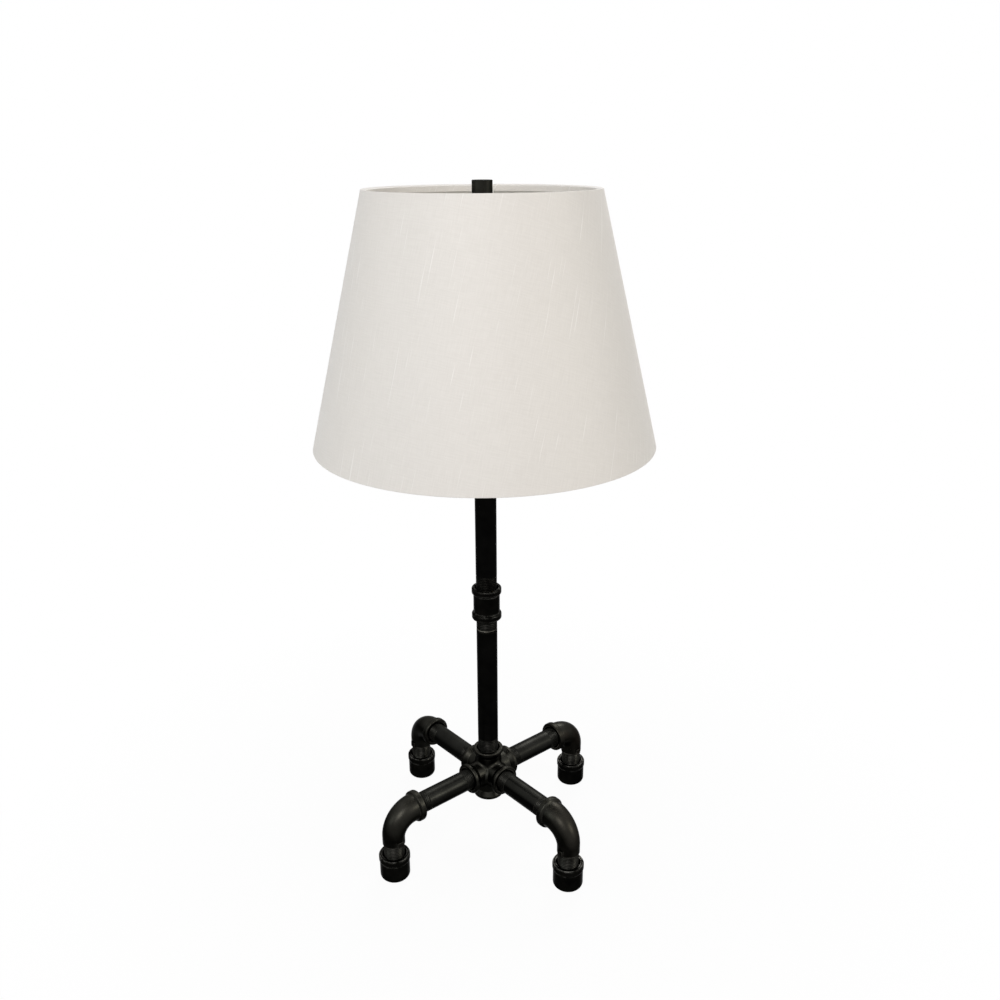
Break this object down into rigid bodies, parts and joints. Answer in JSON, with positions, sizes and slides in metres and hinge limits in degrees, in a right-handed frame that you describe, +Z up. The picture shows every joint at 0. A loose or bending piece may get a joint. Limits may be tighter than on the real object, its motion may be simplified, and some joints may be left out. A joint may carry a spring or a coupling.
{
  "type": "table lamp",
  "caption": "Table lamp with a post and splayed feet of black iron pipe fittings, a tapered linen shade on a harp, a turn-knob socket and a finial.",
  "frame": {"origin": "on the floor under the middle of the post", "axes": "+Z up the post, -Y towards the front where the switch knob points, legs on the diagonals"},
  "size_m": [0.3238, 0.3238, 0.6778],
  "materials": {
    "black_pipe": "black iron pipe with mill scale, satin",
    "cast_fitting": "black cast iron, satin with a sandy skin",
    "grommet": "black moulded grommet",
    "zinc_steel": "zinc plated steel",
    "nickel_steel": "nickel plated steel",
    "socket_brass": "drawn brass",
    "fibre_sleeve": "black fibre board",
    "moulded_black": "black moulded plastic",
    "bulb_metal": "bright aluminium",
    "frosted_glass": "frosted white glass",
    "shade_cloth": "off-white slub linen weave",
    "shade_liner": "white styrene sheet",
    "rim_wire": "white coated steel wire",
    "finial_black": "black satin metal"
  },
  "bodies": {
    "stand": {"centre_cross": "cast_fitting", "outlet_bushing": "cast_fitting", "cord_grommet": "grommet", "lower_post_pipe": "black_pipe", "post_coupling": "cast_fitting", "upper_post_pipe": "black_pipe", "post_top_cap": "cast_fitting", "lamp_nipple": "zinc_steel", "lock_nuts": "zinc_steel", "harp_saddle": "nickel_steel", "harp": "nickel_steel", "harp_stud": "nickel_steel", "socket_cap": "socket_brass", "socket_set_screw": "zinc_steel", "socket_shell": "socket_brass", "socket_sleeve": "fibre_sleeve", "socket_body": "moulded_black", "terminal_screws": "socket_brass", "socket_screw_shell": "bulb_metal", "centre_contact": "socket_brass", "leg_pipe_back_right": "black_pipe", "leg_elbow_back_right": "cast_fitting", "foot_cap_back_right": "cast_fitting", "leg_pipe_back_left": "black_pipe", "leg_elbow_back_left": "cast_fitting", "foot_cap_back_left": "cast_fitting", "leg_pipe_front_left": "black_pipe", "leg_elbow_front_left": "cast_fitting", "foot_cap_front_left": "cast_fitting", "leg_pipe_front_right": "black_pipe", "leg_elbow_front_right": "cast_fitting", "foot_cap_front_right": "cast_fitting"},
    "shade": {"shade_fabric": "shade_cloth", "shade_liner": "shade_liner", "shade_top_ring": "rim_wire", "shade_bottom_ring": "rim_wire", "shade_spider": "rim_wire"},
    "finial_bush": {"finial_insert": "socket_brass"},
    "finial": {"finial": "finial_black"},
    "switch_key": {"switch_stem": "socket_brass", "switch_knob": "moulded_black"},
    "bulb_contact": {"bulb_tip": "bulb_metal"},
    "bulb": {"bulb_insulator": "moulded_black", "bulb_base": "bulb_metal", "bulb_glass": "frosted_glass"},
    "harp_ferrule_left": {"harp_ferrule_left": "nickel_steel"},
    "harp_ferrule_right": {"harp_ferrule_right": "nickel_steel"}
  },
  "joints": [
    {"name": "shade_swivel", "type": "hinge", "parent": "stand", "child": "shade", "pos_m": [0, 0, 0.6558], "axis": [0, 0, 1], "continuous": true},
    {"name": "finial_rise", "type": "slide", "parent": "stand", "child": "finial_bush", "axis": [0, 0, 1], "range_m": [0, 0.0109]},
    {"name": "finial_turn", "type": "hinge", "parent": "finial_bush", "child": "finial", "pos_m": [0, 0, 0.6578], "axis": [0, 0, 1], "range_deg": [0, 4200]},
    {"name": "switch_turn", "type": "hinge", "parent": "stand", "child": "switch_key", "pos_m": [0, -0.0165, 0.4925], "axis": [0, -1, 0], "continuous": true},
    {"name": "bulb_rise", "type": "slide", "parent": "stand", "child": "bulb_contact", "axis": [0, 0, 1], "range_m": [0, 0.0132]},
    {"name": "bulb_turn", "type": "hinge", "parent": "bulb_contact", "child": "bulb", "pos_m": [0, 0, 0.5077], "axis": [0, 0, 1], "range_deg": [0, 1320]},
    {"name": "ferrule_left_slide", "type": "slide", "parent": "stand", "child": "harp_ferrule_left", "axis": [0, 0, 1], "range_m": [0, 0.012]},
    {"name": "ferrule_right_slide", "type": "slide", "parent": "stand", "child": "harp_ferrule_right", "axis": [0, 0, 1], "range_m": [0, 0.012]}
  ],
  "couplings": [
    {"joint": "finial_turn", "follows": "finial_rise", "rad_per_m": 6679},
    {"joint": "bulb_turn", "follows": "bulb_rise", "rad_per_m": 1731.6}
  ]
}
